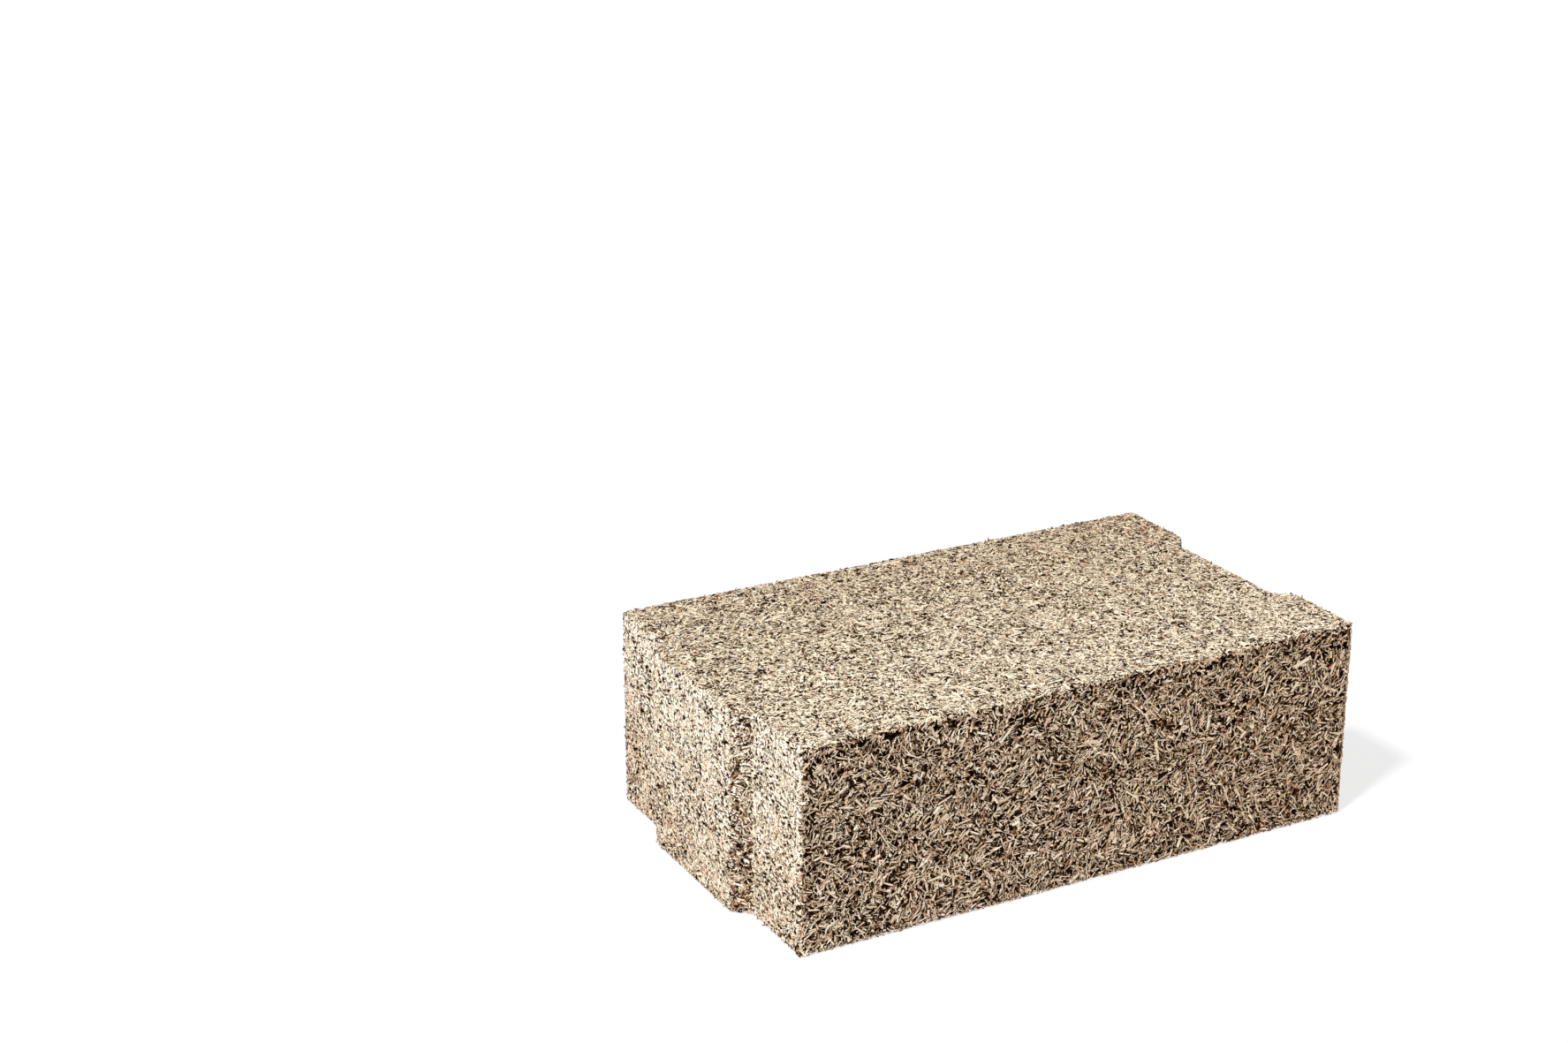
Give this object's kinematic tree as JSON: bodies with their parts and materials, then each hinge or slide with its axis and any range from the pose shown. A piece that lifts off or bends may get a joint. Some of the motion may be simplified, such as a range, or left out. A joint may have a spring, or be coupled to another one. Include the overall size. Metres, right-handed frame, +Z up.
{
  "type": "hempcrete block",
  "caption": "Solid hempcrete wall block of pressed hemp shiv and lime, with a tapered tongue on one end and a matching groove in the other.",
  "frame": {"origin": "middle of the bottom bed face, between the tongue's shoulders and the groove's lips", "axes": "+X along the wall, from the tongue end to the groove end; +Y through the wall's thickness; +Z up, the course height"},
  "size_m": [0.616, 0.36, 0.2],
  "materials": {
    "hempcrete": "matte"
  },
  "bodies": {
    "root": {"hempcrete_block": "hempcrete"}
  },
  "joints": []
}
